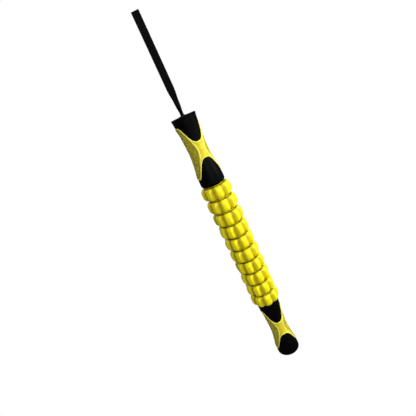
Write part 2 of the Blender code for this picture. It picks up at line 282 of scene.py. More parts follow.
def to_mesh(name, body):
    """The plain mesh of a finished bmesh."""
    mesh = bpy.data.meshes.new(name)
    body.to_mesh(mesh)
    body.free()
    return mesh


def in_scene(name, data):
    """A new object in the scene, at the origin."""
    new = bpy.data.objects.new(name, data)
    bpy.context.scene.collection.objects.link(new)
    return new


def skin(name, columns, wrap=True):
    """Mesh between outlines round the axis; each column is (angle, outline), running down the outer side."""
    body = bmesh.new()
    grid = [[body.verts.new((r * math.sin(angle), -r * math.cos(angle), z)) for r, z in outline]
            for angle, outline in columns]
    rows = len(grid[0])
    for k in range(len(grid) if wrap else len(grid) - 1):
        left, right = grid[k], grid[(k + 1) % len(grid)]
        for i in range(rows):
            j = (i + 1) % rows
            body.faces.new((left[i], left[j], right[j], right[i]))
    bmesh.ops.remove_doubles(body, verts=body.verts, dist=WELD)
    if wrap:
        bmesh.ops.recalc_face_normals(body, faces=body.faces)
    return to_mesh(name, body)


def round_skin(name, outline_at, steps=ROUND_STEPS):
    return skin(name, [(math.tau * k / steps, outline_at(math.tau * k / steps)) for k in range(steps)])


def turned(name, corners, steps=ROUND_STEPS):
    outline = filleted(corners)
    return round_skin(name, lambda angle: outline, steps)


def tube_along(body, path, radius, layer, steps=14):
    """Adds a closed tube along a path to a bmesh, with its UV in metres round and along it."""
    rings, along = [], 0.0
    side = Vector((1, 0.2, 0.1))
    for i, centre in enumerate(path):
        way = (path[min(i + 1, len(path) - 1)] - path[max(i - 1, 0)]).normalized()
        side = (side - way * side.dot(way)).normalized()
        other = way.cross(side)
        rings.append([body.verts.new(centre + (side * math.cos(math.tau * k / steps)
                                               + other * math.sin(math.tau * k / steps)) * radius)
                      for k in range(steps)])
    for i in range(len(rings) - 1):
        step = (path[i + 1] - path[i]).length
        for k in range(steps):
            n = (k + 1) % steps
            face = body.faces.new((rings[i][k], rings[i][n], rings[i + 1][n], rings[i + 1][k]))
            for loop, (u, v) in zip(face.loops, ((k, 0), (k + 1, 0), (k + 1, 1), (k, 1))):
                loop[layer].uv = (u / steps * math.tau * radius, along + v * step)
        along += step
    body.faces.new(rings[0][::-1])
    body.faces.new(rings[-1])


def piece(name, mesh, finish, body, replaces=None, crisp=math.radians(32)):
    """Puts a finished mesh in the scene, riding on its body."""
    new = in_scene(name, mesh)
    if not mesh.materials:
        mesh.materials.append(finish)
    mesh.shade_smooth()
    mesh.set_sharp_from_angle(angle=crisp)
    if body:
        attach(new, body)
    if replaces:
        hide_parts(replaces)
    return new


def mark(mesh, name, value_at):
    """Stores a value on every point of a mesh, worked out from its place."""
    values = mesh.attributes.new(name, "FLOAT", "POINT").data
    values.foreach_set("value", [value_at(point.co) for point in mesh.vertices])


def angle_of(place):
    """Angle of a place round the stick, from the front towards the right."""
    return math.atan2(place.x, -place.y)


# ---------------------------------------------------------------- node helpers

def add(tree, kind, inputs=None, **settings):
    """A node with its settings; an input's value is a number, a colour or another node's socket."""
    new = tree.nodes.new(kind)
    for key, value in settings.items():
        setattr(new, key, value)
    for key, value in (inputs or {}).items():
        if isinstance(value, bpy.types.NodeSocket):
            tree.links.new(value, new.inputs[key])
        else:
            new.inputs[key].default_value = value
    return new


def first_of(tree, kind, inputs=None, **settings):
    """The first output of a new node."""
    return add(tree, kind, inputs, **settings).outputs[0]


def calc(tree, operation, *values, clamp=False):
    return first_of(tree, "ShaderNodeMath", dict(enumerate(values)), operation=operation, use_clamp=clamp)


def remap(tree, value, low, high, to_low=0.0, to_high=1.0):
    return first_of(tree, "ShaderNodeMapRange", {0: value, 1: low, 2: high, 3: to_low, 4: to_high},
                    interpolation_type="SMOOTHSTEP")


def mix_value(tree, share, low, high):
    return first_of(tree, "ShaderNodeMix", {0: share, 2: low, 3: high}, data_type="FLOAT")


def mix_colour(tree, share, low, high):
    made = add(tree, "ShaderNodeMix", {0: share, 6: low, 7: high}, data_type="RGBA")
    return made.outputs[2]


def shaded_by(tree, name, colour, marked):
    """A colour that turns into another where the mesh's attribute of that name is 1."""
    share = add(tree, "ShaderNodeAttribute", attribute_name=name).outputs["Fac"]
    return mix_colour(tree, share, colour, marked)


def object_place(tree):
    return add(tree, "ShaderNodeTexCoord").outputs["Object"]


def vector(tree, **axes):
    return first_of(tree, "ShaderNodeCombineXYZ", axes)


def noise(tree, where, scale, detail=2.0, roughness=0.5):
    made = add(tree, "ShaderNodeTexNoise",
               {"Vector": where, "Scale": scale, "Detail": detail, "Roughness": roughness})
    return made.outputs["Fac"]


def new_group(name, kind, inputs, outputs):
    """An empty node group; inputs are {name: (type, value)} and outputs {name: type}."""
    group = bpy.data.node_groups.new(name, kind)
    for label, (socket_type, value) in inputs.items():
        socket = group.interface.new_socket(label, in_out="INPUT", socket_type="NodeSocket" + socket_type)
        if value is not None:
            socket.default_value = value
    for label, socket_type in outputs.items():
        group.interface.new_socket(label, in_out="OUTPUT", socket_type="NodeSocket" + socket_type)
    return group, group.nodes.new("NodeGroupInput").outputs, group.nodes.new("NodeGroupOutput").inputs


def give(tree, result, **values):
    """Links values to the outputs of a group, which is then done."""
    for label, value in values.items():
        tree.links.new(value, result[label])
    return tree


def place_group(tree, group, inputs):
    return add(tree, "ShaderNodeGroup", inputs, node_tree=group).outputs


# ---------------------------------------------------------------- shared effects

def grain_group():
    """Fine spark-eroded grain of a mould, with slow patches that vary the gloss."""
    tree, given, result = new_group("moulded_grain", "ShaderNodeTree", {
        "Grain per metre": ("Float", 2600.0), "Patches per metre": ("Float", 60.0),
        "Roughness low": ("Float", 0.35), "Roughness high": ("Float", 0.5),
    }, {"Height": "Float", "Patches": "Float", "Roughness": "Float"})
    where = object_place(tree)
    fine = noise(tree, where, given["Grain per metre"], 3.0, 0.6)
    coarse_scale = calc(tree, "MULTIPLY", given["Grain per metre"], 0.23)
    coarse = noise(tree, where, coarse_scale, 1.0)
    patches = noise(tree, where, given["Patches per metre"], 3.0, 0.55)
    height = calc(tree, "ADD", calc(tree, "MULTIPLY", fine, 0.7), calc(tree, "MULTIPLY", coarse, 0.5))
    spread = remap(tree, patches, 0.35, 0.65)
    gloss = mix_value(tree, spread, given["Roughness low"], given["Roughness high"])
    return give(tree, result, Height=height, Patches=spread, Roughness=gloss)


def wear_and_shade_group():
    """Lighter rubbed edges and darker hollows, from how far a surface bends; the darkening of the hollows is
    partly grime and partly painted shade.
    """
    tree, given, result = new_group("worn_edges_and_hollow_shade", "ShaderNodeTree", {
        "Colour": ("Color", (0.5, 0.5, 0.5, 1)), "Rubbed": ("Color", (0.8, 0.8, 0.8, 1)),
        "Hollow": ("Color", (0.1, 0.1, 0.1, 1)), "Rub": ("Float", 0.5), "Dirt and shade": ("Float", 0.5),
    }, {"Colour": "Color"})
    bend = add(tree, "ShaderNodeNewGeometry").outputs["Pointiness"]
    where = object_place(tree)
    patchy = remap(tree, noise(tree, where, 240.0, 4.0, 0.6), 0.3, 0.62)
    edges = calc(tree, "MULTIPLY", remap(tree, bend, 0.515, 0.6), patchy)
    # darker hollows: partly grime, partly painted shade
    hollows = calc(tree, "MULTIPLY", remap(tree, bend, 0.49, 0.42), mix_value(tree, patchy, 0.75, 1.0))
    rubbed = calc(tree, "MULTIPLY", edges, given["Rub"], clamp=True)
    dirt_and_shade_share = calc(tree, "MULTIPLY", hollows, given["Dirt and shade"], clamp=True)
    colour = mix_colour(tree, dirt_and_shade_share, given["Colour"], given["Hollow"])
    return give(tree, result, Colour=mix_colour(tree, rubbed, colour, given["Rubbed"]))


def dust_group():
    """A thin film of dust, thickest on faces that look upwards."""
    tree, given, result = new_group("settled_dust", "ShaderNodeTree", {
        "Colour": ("Color", (0, 0, 0, 1)), "Dust": ("Color", (0.3, 0.29, 0.27, 1)),
        "Amount": ("Float", 0.1), "Roughness": ("Float", 0.4),
    }, {"Colour": "Color", "Roughness": "Float"})
    where = object_place(tree)
    normal = add(tree, "ShaderNodeNewGeometry").outputs["Normal"]
    upwards = add(tree, "ShaderNodeSeparateXYZ", {0: normal}).outputs["Z"]
    film = mix_value(tree, remap(tree, upwards, 0.0, 0.9), 0.25, 1.0)
    specks = remap(tree, noise(tree, where, 900.0, 5.0, 0.7), 0.45, 0.75)
    mask = calc(tree, "MULTIPLY", calc(tree, "MULTIPLY", film, specks), given["Amount"], clamp=True)
    colour = mix_colour(tree, mask, given["Colour"], given["Dust"])
    gloss = mix_value(tree, mask, given["Roughness"], 0.95)
    return give(tree, result, Colour=colour, Roughness=gloss)


def weave_group():
    """Twill threads across a webbing, read from a UV map in metres across and along it."""
    tree, given, result = new_group("twill_weave", "ShaderNodeTree", {
        "Pitch": ("Float", THREAD_PITCH), "Slant": ("Float", THREAD_SLANT), "Thread": ("Float", 0.42 * MM),
    }, {"Height": "Float", "Raised": "Float", "Fuzz": "Float"})
    place = add(tree, "ShaderNodeUVMap", uv_map="cloth").outputs[0]
    axes = add(tree, "ShaderNodeSeparateXYZ", {0: place})
    across, along = axes.outputs["X"], axes.outputs["Y"]
    slanted = calc(tree, "ADD", along, calc(tree, "MULTIPLY", across, given["Slant"]))

    def ridges(distance, pitch):
        turns = calc(tree, "MULTIPLY", calc(tree, "DIVIDE", distance, pitch), math.pi)
        return calc(tree, "ABSOLUTE", calc(tree, "SINE", turns))

    rib = ridges(slanted, given["Pitch"])
    thread = ridges(across, given["Thread"])
    cross = ridges(along, given["Thread"])
    weave = calc(tree, "MULTIPLY", calc(tree, "ADD", thread, cross), 0.5)
    where = object_place(tree)
    fuzz = noise(tree, where, 4200.0, 3.0, 0.7)
    height = calc(tree, "ADD", calc(tree, "MULTIPLY", rib, 0.6), calc(tree, "MULTIPLY", weave, 0.5))
    height = calc(tree, "ADD", height, calc(tree, "MULTIPLY", fuzz, 0.35))
    return give(tree, result, Height=height, Raised=rib, Fuzz=fuzz)


GRAIN = grain_group()
WEAR_AND_SHADE = wear_and_shade_group()
DUST = dust_group()
WEAVE = weave_group()


# ---------------------------------------------------------------- finishes

def rgb(red, green, blue):
    return (red, green, blue, 1.0)


GREY_DUST = rgb(0.3, 0.29, 0.27)
YELLOW_DUST = rgb(0.55, 0.5, 0.2)
LEMON_BRIGHT = rgb(0.94, 0.82, 0.003)
LEMON_DULL = rgb(0.89, 0.77, 0.002)
# painted shade, laid into the bottoms of the rings' grooves
LEMON_GROOVE_SHADE = rgb(0.52, 0.41, 0.001)
# painted shadow on the hub and the lobes' end faces, where two rings meet
LEMON_GAP_SHADOW = rgb(0.16, 0.11, 0.001)


def new_finish(name):
    finish = bpy.data.materials.new(name)
    finish.use_nodes = True
    return finish, finish.node_tree, finish.node_tree.nodes["Principled BSDF"]


def grained(tree, per_metre, low, high, patches=60.0):
    return place_group(tree, GRAIN, {"Grain per metre": per_metre, "Patches per metre": patches,
                                     "Roughness low": low, "Roughness high": high})


# rubbed edges, and hollows darkened partly as grime and partly as painted shade
def worn_and_shaded(tree, colour, rubbed, hollow, rub, dirt_and_shade):
    return place_group(tree, WEAR_AND_SHADE, {"Colour": colour, "Rubbed": rubbed, "Hollow": hollow,
                                    "Rub": rub, "Dirt and shade": dirt_and_shade})["Colour"]


def dusty(tree, colour, gloss, amount, dust=GREY_DUST):
    made = place_group(tree, DUST, {"Colour": colour, "Dust": dust, "Amount": amount, "Roughness": gloss})
    return made["Colour"], made["Roughness"]


def connect(tree, shader, colour, gloss, height, distance, specular=0.5):
    """Feeds a shader its colour, its roughness and a bump of that depth."""
    tree.links.new(colour, shader.inputs["Base Color"])
    tree.links.new(gloss, shader.inputs["Roughness"])
    bump = add(tree, "ShaderNodeBump", {"Height": height, "Distance": distance, "Strength": 1.0})
    tree.links.new(bump.outputs["Normal"], shader.inputs["Normal"])
    shader.inputs["Specular IOR Level"].default_value = specular


def black_moulded():
    """Black nylon of the handles and caps: fine satin grain, rubbed edges and a little dust."""
    finish, tree, shader = new_finish("black_moulded_nylon")
    grain = grained(tree, 2600.0, 0.42, 0.55)
    shade = mix_colour(tree, grain["Patches"], rgb(0.0009, 0.0009, 0.0011), rgb(0.0013, 0.0014, 0.0017))
    shade = worn_and_shaded(tree, shade, rgb(0.035, 0.036, 0.040), rgb(0.001, 0.001, 0.001), rub=0.35, dirt_and_shade=0.6)
    shade, gloss = dusty(tree, shade, grain["Roughness"], 0.02)
    connect(tree, shader, shade, gloss, grain["Height"], 0.03 * MM, specular=0.04)
    return finish


def yellow_moulded():
    """Lemon-yellow moulded plastic of the rings: satin gloss, with painted brownish shade in its grooves and
    painted dark shadow where two rings meet.
    """
    finish, tree, shader = new_finish("yellow_moulded_plastic")
    grain = grained(tree, 1900.0, 0.36, 0.5, patches=90.0)
    shade = mix_colour(tree, grain["Patches"], LEMON_BRIGHT, LEMON_DULL)
    # painted shade in the grooves between lobes, masked by the groove attribute
    shade = shaded_by(tree, "groove", shade, LEMON_GROOVE_SHADE)
    # painted shadow where two rings meet
    shade = shaded_by(tree, "gap_shadow", shade, LEMON_GAP_SHADOW)
    # darker hollows of the rings: partly grime, partly painted shade
    shade = worn_and_shaded(tree, shade, rgb(0.96, 0.90, 0.02), rgb(0.40, 0.30, 0.001), rub=0.5, dirt_and_shade=0.45)
    connect(tree, shader, shade, grain["Roughness"], grain["Height"], 0.025 * MM, specular=0.35)
    return finish


def yellow_soft():
    """Paler matte yellow rubber of the grips, rubbed shinier on its proud edges, with painted shade in its
    sunk side panels and a painted highlight along the crest of its lip.
    """
    finish, tree, shader = new_finish("yellow_soft_rubber")
    grain = grained(tree, 3200.0, 0.58, 0.72, patches=120.0)
    shade = mix_colour(tree, grain["Patches"], rgb(0.76, 0.65, 0.030), rgb(0.66, 0.55, 0.020))
    # painted shade in the sunk side panels
    shade = shaded_by(tree, "hollow", shade, rgb(0.29, 0.235, 0.003))
    # painted highlight along the crest of the raised lip
    shade = shaded_by(tree, "raised", shade, rgb(0.97, 0.92, 0.11))
    # darker hollows of the grip: partly grime, partly painted shade
    shade = worn_and_shaded(tree, shade, rgb(0.97, 0.93, 0.14), rgb(0.30, 0.22, 0.006), rub=0.7, dirt_and_shade=0.7)
    shade, gloss = dusty(tree, shade, grain["Roughness"], 0.04, YELLOW_DUST)
    connect(tree, shader, shade, gloss, grain["Height"], 0.06 * MM, specular=0.3)
    return finish


def webbing():
    """Near-black polypropylene webbing with a hint of navy, its twill threads catching the light, with a
    faint painted highlight on the raised ribs.
    """
    finish, tree, shader = new_finish("black_twill_webbing")
    weave = place_group(tree, WEAVE, {})
    # painted highlight: the raised ribs a touch lighter than the rest
    shade = mix_colour(tree, weave["Raised"], rgb(0.0005, 0.0005, 0.0008), rgb(0.0016, 0.0017, 0.0030))
    shade = mix_colour(tree, remap(tree, weave["Fuzz"], 0.55, 0.8), shade, rgb(0.0035, 0.0035, 0.0055))
    gloss = remap(tree, weave["Raised"], 0.0, 1.0, 0.9, 0.62)
    connect(tree, shader, shade, gloss, weave["Height"], 0.16 * MM, specular=0.06)
    shader.inputs["Sheen Weight"].default_value = 0.005
    shader.inputs["Sheen Roughness"].default_value = 0.4
    return finish


def black_soft():
    """Black rubber of the grommet, dull and slightly dusty."""
    finish, tree, shader = new_finish("black_grommet_rubber")
    grain = grained(tree, 3400.0, 0.65, 0.8)
    shade = mix_colour(tree, grain["Patches"], rgb(0.005, 0.005, 0.0055), rgb(0.008, 0.008, 0.0085))
    shade, gloss = dusty(tree, shade, grain["Roughness"], 0.08)
    connect(tree, shader, shade, gloss, grain["Height"], 0.05 * MM, specular=0.3)
    return finish


def plated_steel():
    """Zinc-plated steel, drawn along the stick, with a cloudy gloss."""
    finish, tree, shader = new_finish("plated_steel")
    grain = grained(tree, 1500.0, 0.24, 0.42, patches=150.0)
    where = object_place(tree)
    drawn = first_of(tree, "ShaderNodeMapping", {"Vector": where, "Scale": (1, 1, 0.02)})
    lines = noise(tree, drawn, 5200.0, 2.0)
    shade = mix_colour(tree, grain["Patches"], rgb(0.62, 0.63, 0.64), rgb(0.50, 0.51, 0.53))
    # darker hollows of the steel: partly grime, partly painted shade
    shade = worn_and_shaded(tree, shade, rgb(0.75, 0.75, 0.75), rgb(0.16, 0.15, 0.14), rub=0.5, dirt_and_shade=0.5)
    connect(tree, shader, shade, grain["Roughness"], lines, 0.012 * MM)
    shader.inputs["Metallic"].default_value = 1.0
    return finish


def grey_moulded():
    """Grey acetal of the sleeve that the rings roll on, polished by them."""
    finish, tree, shader = new_finish("grey_sleeve_plastic")
    grain = grained(tree, 2200.0, 0.3, 0.45)
    shade = mix_colour(tree, grain["Patches"], rgb(0.32, 0.33, 0.34), rgb(0.27, 0.28, 0.29))
    # darker hollows of the sleeve: partly grime, partly painted shade
    shade = worn_and_shaded(tree, shade, rgb(0.5, 0.5, 0.5), rgb(0.08, 0.08, 0.07), rub=0.4, dirt_and_shade=0.5)
    connect(tree, shader, shade, grain["Roughness"], grain["Height"], 0.02 * MM)
    return finish


NYLON = black_moulded()
LEMON = yellow_moulded()
SOFT = yellow_soft()
WEBBING = webbing()
RUBBER = black_soft()
STEEL = plated_steel()
GREY = grey_moulded()


# ---------------------------------------------------------------- trees that repeat a shape

def finished(tree, given, result, shape, label):
    """Ends a tree: makes its copies real and puts the finish on them."""
    real = first_of(tree, "GeometryNodeRealizeInstances", {0: shape})
    done = first_of(tree, "GeometryNodeSetMaterial", {"Geometry": real, "Material": given["Finish"]})
    tree.links.new(done, result[label])
    return tree


def lobes_tree():
    """Repeats one sector of a ring round the axis and welds the sectors together."""
    tree, given, result = new_group("ring_of_lobes", "GeometryNodeTree", {
        "Sector": ("Geometry", None), "Lobes": ("Int", LOBES), "Turn": ("Float", 0.0),
        "Height": ("Float", 0.0), "Weld": ("Float", WELD), "Finish": ("Material", None),
    }, {"Ring": "Geometry"})
    spots = first_of(tree, "GeometryNodePoints",
                     {"Count": given["Lobes"], "Position": vector(tree, Z=given["Height"])})
    pitch = calc(tree, "DIVIDE", math.tau, given["Lobes"])
    turn = calc(tree, "MULTIPLY_ADD", first_of(tree, "GeometryNodeInputIndex"), pitch, given["Turn"])
    copies = first_of(tree, "GeometryNodeInstanceOnPoints",
                      {"Points": spots, "Instance": given["Sector"], "Rotation": vector(tree, Z=turn)})
    real = first_of(tree, "GeometryNodeRealizeInstances", {0: copies})
    welded = first_of(tree, "GeometryNodeMergeByDistance", {"Geometry": real, "Distance": given["Weld"]})
    return finished(tree, given, result, welded, "Ring")


def studs_tree():
    """A low round stud on every point, standing square to the surface there."""
    tree, given, result = new_group("raised_studs", "GeometryNodeTree", {
        "Points": ("Geometry", None), "Radius": ("Float", STUD_RADIUS), "Height": ("Float", STUD_HEIGHT),
        "Sides": ("Int", 8), "Rings": ("Int", 6), "Finish": ("Material", None),
    }, {"Studs": "Geometry"})
    ball = first_of(tree, "GeometryNodeMeshUVSphere",
                    {"Segments": given["Sides"], "Rings": given["Rings"], "Radius": 1.0})
    size = vector(tree, X=given["Radius"], Y=given["Radius"], Z=given["Height"])
    stud = first_of(tree, "GeometryNodeTransform", {"Geometry": ball, "Scale": size})
    outwards = first_of(tree, "GeometryNodeInputNamedAttribute", {"Name": "outwards"},
                        data_type="FLOAT_VECTOR")
    stand = first_of(tree, "FunctionNodeAlignRotationToVector", {"Vector": outwards}, axis="Z")
    studs = first_of(tree, "GeometryNodeInstanceOnPoints",
                     {"Points": given["Points"], "Instance": stud, "Rotation": stand})
    return finished(tree, given, result, studs, "Studs")


def thread_tree():
    """Winds a screw's thread round its shank."""
    tree, given, result = new_group("screw_thread", "GeometryNodeTree", {
        "Shank": ("Geometry", None), "Radius": ("Float", SCREW_RADIUS), "Turns": ("Float", THREAD_TURNS),
        "Length": ("Float", SCREW_LENGTH), "Start": ("Float", 0.0), "Depth": ("Float", THREAD_DEPTH),
        "Finish": ("Material", None),
    }, {"Screw": "Geometry"})
    coil = first_of(tree, "GeometryNodeCurveSpiral", {
        "Resolution": 20, "Rotations": given["Turns"], "Start Radius": given["Radius"],
        "End Radius": given["Radius"], "Height": given["Length"]})
    start = vector(tree, Z=given["Start"])
    coil = first_of(tree, "GeometryNodeTransform", {"Geometry": coil, "Translation": start})
    crest = first_of(tree, "GeometryNodeCurvePrimitiveCircle", {"Resolution": 6, "Radius": given["Depth"]})
    ridge = first_of(tree, "GeometryNodeCurveToMesh",
                     {"Curve": coil, "Profile Curve": crest, "Fill Caps": True})
    both = tree.nodes.new("GeometryNodeJoinGeometry")
    tree.links.new(given["Shank"], both.inputs[0])
    tree.links.new(ridge, both.inputs[0])
    return finished(tree, given, result, both.outputs[0], "Screw")


def run_tree(mesh, tree, values):
    """The plain mesh that a tree makes of a mesh, with its named inputs set."""
    holder = in_scene("holder", mesh)
    modifier = holder.modifiers.new("Tree", "NODES")
    modifier.node_group = tree
    sockets = {item.name: item.identifier for item in tree.interface.items_tree if item.in_out == "INPUT"}
    for label, value in values.items():
        modifier[sockets[label]] = value
    seen = holder.evaluated_get(bpy.context.evaluated_depsgraph_get())
    made = bpy.data.meshes.new_from_object(seen)
    holder.modifiers.remove(modifier)
    bpy.data.objects.remove(holder)
    return made


LOBES_TREE = lobes_tree()
STUDS_TREE = studs_tree()
THREAD_TREE = thread_tree()


# ---------------------------------------------------------------- strap

def smooth_curve(points, step):
    """Catmull-Rom curve through the points, with a station about every step."""
    ends = [2 * points[0] - points[1]] + points + [2 * points[-1] - points[-2]]
    curve = []
    for i in range(len(points) - 1):
        a, b, c, d = ends[i:i + 4]
        count = max(1, round((c - b).length / step))
        for k in range(count):
            t = k / count
            curve.append(0.5 * (2 * b + (c - a) * t + (2 * a - 5 * b + 4 * c - d) * t ** 2
                                + (3 * b - a - 3 * c + d) * t ** 3))
    return curve + [points[-1]]


def twisted(point):
    """Turns a point of the strap about the axis, more and more towards the foot."""
    height = point.z - TOP_Z
    angle = TWIST * (1 - smooth_step((height - TWIST_START) / (TWIST_END - TWIST_START)))
    return Matrix.Rotation(angle, 3, "Z") @ point


def strap_route():
    """Centreline of the whole loop, up the front leg and down the back one."""
    leg = [STRAP_SUNK] + STRAP_LEG
    front = [Vector((0, -away, TOP_Z + height)) for away, height in leg]
    back = [Vector((0, away, TOP_Z + height)) for away, height in reversed(leg[:-1])]
    return smooth_curve(front + back, STRAP_STEP)


def strap_section(centre, way, along):
    """Points round the webbing at one station: wide and flat above, gathered and folded at the foot."""
    across = Vector((1, 0, 0))
    through = way.cross(across)
    spread = smooth_step((centre.z - TOP_Z - GATHER_START) / (GATHER_END - GATHER_START))
    half_width = mix(FOOT_WIDTH, STRAP_WIDTH, spread) / 2
    half_depth = mix(FOOT_THICKNESS, STRAP_THICKNESS, spread) / 2
    blunt = mix(FOOT_BLUNT, RIBBON_BLUNT, spread)
    fold = mix(FOLD_DEPTH, 0, spread)
    slant = half_width * THREAD_SLANT
    points = []
    for side in (-1, 1):
        for k in range(FACE_POINTS):
            share = -math.cos(math.pi * k / FACE_POINTS) * side
            edge = max(0.0, 1 - abs(share) ** blunt) ** (1 / blunt)
            thread = abs(math.sin(math.pi * (along + share * slant * side) / THREAD_PITCH))
            rise = THREAD_RISE * (thread - 0.6) * min(1, 3 * edge) * mix(0.5, 1, spread)
            crease = fold * math.cos(share * math.pi * FOLD_WAVES) * edge
            depth = side * (half_depth * edge + rise * edge + crease)
            points.append(centre + across * half_width * share + through * depth)
    return points


def build_strap():
    route = strap_route()
    body = bmesh.new()
    layer = body.loops.layers.uv.new("cloth")
    rings, marks, along = [], [], 0.0
    for i, centre in enumerate(route):
        way = (route[min(i + 1, len(route) - 1)] - route[max(i - 1, 0)]).normalized()
        if i:
            along += (centre - route[i - 1]).length
        rings.append([body.verts.new(twisted(point)) for point in strap_section(centre, way, along)])
        marks.append(along)
    count = 2 * FACE_POINTS
    across_step = STRAP_WIDTH / FACE_POINTS
    for i in range(len(rings) - 1):
        for k in range(count):
            n = (k + 1) % count
            face = body.faces.new((rings[i][k], rings[i][n], rings[i + 1][n], rings[i + 1][k]))
            corners = ((k, marks[i]), (k + 1, marks[i]), (k + 1, marks[i + 1]), (k, marks[i + 1]))
            for loop, (u, v) in zip(face.loops, corners):
                loop[layer].uv = (u * across_step, v)
    body.faces.new(rings[0][::-1])
    body.faces.new(rings[-1])
    bmesh.ops.recalc_face_normals(body, faces=body.faces)
    mesh = to_mesh("webbing_loop", body)
    strap = piece("webbing_loop", mesh, WEBBING, None, "wrist_strap", crisp=STRAP_CREASE)
    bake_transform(strap)
    return strap, [twisted(point) for point in route]


def build_knot():
    """The strap's knot under the cap: a pulled-up overhand knot, its two necks and two cut tails."""
    body = bmesh.new()
    layer = body.loops.layers.uv.new("cloth")
    middle = Vector((0, 0, TOP_Z - KNOT_MIDDLE))
    loop = []
    for k in range(KNOT_STEPS + 1):
        t = math.tau * k / KNOT_STEPS
        loop.append(middle + Vector((KNOT_SPREAD * (math.sin(t) + 2 * math.sin(2 * t)),
                                     KNOT_SPREAD * (math.cos(t) - 2 * math.cos(2 * t)),
                                     -KNOT_RISE * math.sin(3 * t))))
    tube_along(body, loop, KNOT_STRAND, layer)
    for side in (-1, 1):
        neck = [Vector((side * NECK_RADIUS, 0, TOP_Z + 0.4 * MM)),
                Vector((side * NECK_RADIUS, 0, TOP_Z - 2 * MM)),
                Vector((side * 1.3 * MM, 0.3 * MM, TOP_Z - 4.2 * MM)),
                Vector((side * 1.8 * MM, 1.2 * MM, TOP_Z - 7 * MM))]
        tube_along(body, smooth_curve(neck, KNOT_STATION), NECK_RADIUS, layer)
        tail = [Vector((side * 1.6 * MM, -0.6 * MM, TOP_Z - 10.5 * MM)),
                Vector((side * 2.2 * MM, -1.0 * MM, TOP_Z - 13 * MM)),
                Vector((side * 2.9 * MM, -1.2 * MM, TOP_Z - 15.8 * MM))]
        tube_along(body, smooth_curve(tail, KNOT_STATION), TAIL_RADIUS, layer)
    bmesh.ops.recalc_face_normals(body, faces=body.faces)
    mesh = to_mesh("webbing_knot", body)
    return piece("webbing_knot", mesh, WEBBING, "stick", "strap_knot", crisp=STRAP_CREASE)


def build_grommet():
    rim = TOP_Z + GROMMET_RISE
    seat = TOP_Z + 0.02 * MM
    corners = [
        (GROMMET_HOLE, rim - 0.25 * MM, 0.3 * MM),
        (GROMMET_HOLE + 0.9 * MM, rim, 0.4 * MM),
        (GROMMET_FLANGE - 1.6 * MM, rim - 0.15 * MM, 1 * MM),
        (GROMMET_FLANGE, rim - 0.75 * MM, 0.5 * MM),
        (GROMMET_FLANGE, seat, 0.1 * MM),
        (GROMMET_BARREL, seat, 0),
        (GROMMET_BARREL, TOP_Z - CAP_THICKNESS, 0.3 * MM),
        (GROMMET_HOLE, TOP_Z - CAP_THICKNESS, 0.3 * MM),
    ]
    piece("grommet_moulding", turned("grommet_moulding", corners), RUBBER, "stick",
          "strap_grommet")


# ---------------------------------------------------------------- handles

def handle_radius(along):
    """Outer radius of a handle, at a distance from its flared end."""
    if along < WAIST_AT:
        return WAIST_RADIUS + FLARE_RISE * ((WAIST_AT - along) / WAIST_AT) ** FLARE_POWER
    return WAIST_RADIUS + SWELL_RISE * smooth_step((along - WAIST_AT) / SWELL_LENGTH)


def off_tongue(angle):
    """Angle from the middle of the nearest black tongue; tongues are at front and back."""
    return abs((angle + math.pi / 2) % math.pi - math.pi / 2)


def tongue_share(angle):
    """1 at the middle of a black tongue, 0 at the side of the handle."""
    reach = min(off_tongue(angle) / TONGUE_ANGLE, 1) ** TONGUE_POWER
    return (1 + math.cos(math.pi * reach)) / 2


def grip_edges(angle):
    """Both ends of the grip at an angle, each with how much longer a step along is than one square in."""
    found = []
    for side, tip in ((UPPER_SIDE, UPPER_TIP), (LOWER_SIDE, LOWER_TIP)):
        before, level, after = (mix(side, tip, tongue_share(angle + step))
                                for step in (-SLOPE_STEP, 0, SLOPE_STEP))
        slope = (after - before) / (2 * SLOPE_STEP * WAIST_RADIUS)
        found.append((level, math.hypot(1, slope)))
    return found


def soft_least(a, b, reach):
    """The smaller of two distances, rounded over where they meet."""
    meet = max(reach - abs(a - b), 0) / reach
    return min(a, b) - meet * meet * reach / 4


def grip_place(angle, along):
    """How far a point of the grip is in from the grip's edge, and how far inside a side panel."""
    (start, start_lean), (end, end_lean) = grip_edges(angle)
    inside = min((along - start) / start_lean, (end - along) / end_lean)
    beside = (off_tongue(angle) - BAND_HALF) * handle_radius(along)
    return inside, soft_least(inside - PANEL_INSET, beside, PANEL_CORNER)


def panel_share(angle, along):
    """1 on a sunk side panel of the grip, 0 off it."""
    return smooth_step(grip_place(angle, along)[1] / PANEL_SLOPE)


def lip_share(angle, along):
    """1 on the crest of the raised lip that runs round the grip and its side panels, 0 off it."""
    inside, panel = grip_place(angle, along)
    crest = max(bead(inside - LIP_AT, 2 * LIP_WIDTH), bead(panel + PANEL_INSET - LIP_AT, 2 * LIP_WIDTH))
    return crest * (inside > 0)


def grip_height(angle, along):
    """How far the grip stands out of the handle: a smooth band, a raised lip and sunk side panels."""
    inside, panel = grip_place(angle, along)
    shoulder = min(inside / GRIP_SHOULDER, 1)
    stand = GRIP_STAND * math.sqrt(max(1 - (1 - shoulder) ** 2, 0))
    lip = lip_share(angle, along)
    sunk = smooth_step(panel / PANEL_SLOPE)
    at_waist = abs(along - (UPPER_TIP + LOWER_TIP) / 2) < RIB_REACH
    ribs = 0.5 + 0.5 * math.cos(math.tau * along / RIB_PITCH)
    band = smooth_step((inside - 3 * MM) / RIB_FADE) * smooth_step(-panel / RIB_FADE) * at_waist
    return stand + LIP_RISE * lip * shoulder - PANEL_DEPTH * sunk - RIB_DEPTH * ribs * band


